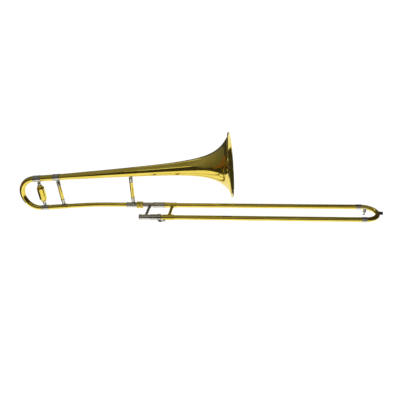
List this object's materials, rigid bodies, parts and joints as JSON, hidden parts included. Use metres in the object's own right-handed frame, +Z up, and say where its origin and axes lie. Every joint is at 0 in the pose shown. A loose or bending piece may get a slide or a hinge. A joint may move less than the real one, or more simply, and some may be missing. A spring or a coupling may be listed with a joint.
{
  "type": "trombone",
  "caption": "Straight tenor trombone with a flared bell, a hand slide, a tuning slide with counterweight, a bell lock nut, a slide lock and a water key.",
  "frame": {"origin": "centre of the mouthpiece receiver's mouth", "axes": "+X along the hand slide to its bow, +Y towards the side that carries the bell section, +Z up in the bell's plane"},
  "size_m": [1.1778, 0.204, 0.267],
  "materials": {
    "lacquered_brass": "clear lacquer over polished brass",
    "nickel_silver": "polished nickel silver",
    "steel": "plain",
    "cork": "natural",
    "rubber": "matt"
  },
  "bodies": {
    "inner_slide": {"mouthpiece_receiver": "nickel_silver", "leadpipe": "lacquered_brass", "bell_tenon": "nickel_silver", "mouthpiece_side_inner_tube": "nickel_silver", "bell_side_inner_tube": "nickel_silver", "mouthpiece_side_barrel": "nickel_silver", "bell_side_barrel": "nickel_silver", "mouthpiece_side_cork": "cork", "bell_side_cork": "cork", "inner_brace_rod": "nickel_silver", "inner_brace_near_foot": "nickel_silver", "inner_brace_far_foot": "nickel_silver"},
    "slide_lock": {"slide_lock_ring": "nickel_silver"},
    "outer_slide": {"mouthpiece_side_outer_tube": "lacquered_brass", "bell_side_outer_tube": "lacquered_brass", "mouthpiece_side_handle_ferrule": "lacquered_brass", "bell_side_handle_ferrule": "lacquered_brass", "slide_brace_rod": "lacquered_brass", "slide_brace_near_foot": "lacquered_brass", "slide_brace_far_foot": "lacquered_brass", "mouthpiece_side_bow_ferrule": "nickel_silver", "bell_side_bow_ferrule": "nickel_silver", "slide_bow": "lacquered_brass", "bumper_socket": "nickel_silver", "rubber_bumper": "rubber", "water_key_nipple": "nickel_silver", "water_key_bracket": "nickel_silver", "water_key_pivot": "steel", "water_key_spring": "steel", "slide_lock_lug": "nickel_silver"},
    "water_key": {"water_key_lever": "nickel_silver", "water_key_cork": "cork"},
    "bell_section": {"bell": "lacquered_brass", "bell_rim_wire": "lacquered_brass", "bell_tail_ferrule": "nickel_silver", "upper_tuning_sleeve": "lacquered_brass", "lower_tuning_sleeve": "lacquered_brass", "neckpipe": "lacquered_brass", "bell_receiver": "nickel_silver", "front_brace_rod": "lacquered_brass", "front_brace_near_foot": "nickel_silver", "front_brace_far_foot": "nickel_silver", "rear_brace_rod": "lacquered_brass", "rear_brace_near_foot": "nickel_silver", "rear_brace_far_foot": "nickel_silver"},
    "lock_nut": {"bell_lock_nut": "lacquered_brass"},
    "tuning_slide": {"tuning_crook": "lacquered_brass", "lower_crook_ferrule": "nickel_silver", "upper_crook_ferrule": "nickel_silver", "lower_tuning_leg": "nickel_silver", "upper_tuning_leg": "nickel_silver", "tuning_brace_rod": "nickel_silver", "tuning_brace_near_foot": "nickel_silver", "tuning_brace_far_foot": "nickel_silver", "counterweight": "lacquered_brass"}
  },
  "joints": [
    {"name": "main_slide", "type": "slide", "parent": "inner_slide", "child": "outer_slide", "axis": [1, 0, 0], "range_m": [0, 0.57]},
    {"name": "slide_lock_turn", "type": "hinge", "parent": "inner_slide", "child": "slide_lock", "pos_m": [0.065, 0, 0], "axis": [1, 0, 0], "range_deg": [0, 22]},
    {"name": "water_key_hinge", "type": "hinge", "parent": "outer_slide", "child": "water_key", "pos_m": [0.70576, 0.0726, -0.0114], "axis": [-0.9272, 0.3746, 0], "range_deg": [0, 18], "stiffness_Nm_per_rad": 0.02, "springref_deg": -34.38},
    {"name": "bell_swivel", "type": "hinge", "parent": "inner_slide", "child": "bell_section", "pos_m": [-0.02, 0.084, 0], "axis": [1, 0, 0], "range_deg": [-15, 25]},
    {"name": "lock_nut_turn", "type": "hinge", "parent": "inner_slide", "child": "lock_nut", "pos_m": [-0.015, 0.084, 0], "axis": [1, 0, 0], "range_deg": [0, 720]},
    {"name": "tuning_slide_pull", "type": "slide", "parent": "bell_section", "child": "tuning_slide", "axis": [-0.9971, 0, -0.0757], "range_m": [0, 0.041]}
  ]
}
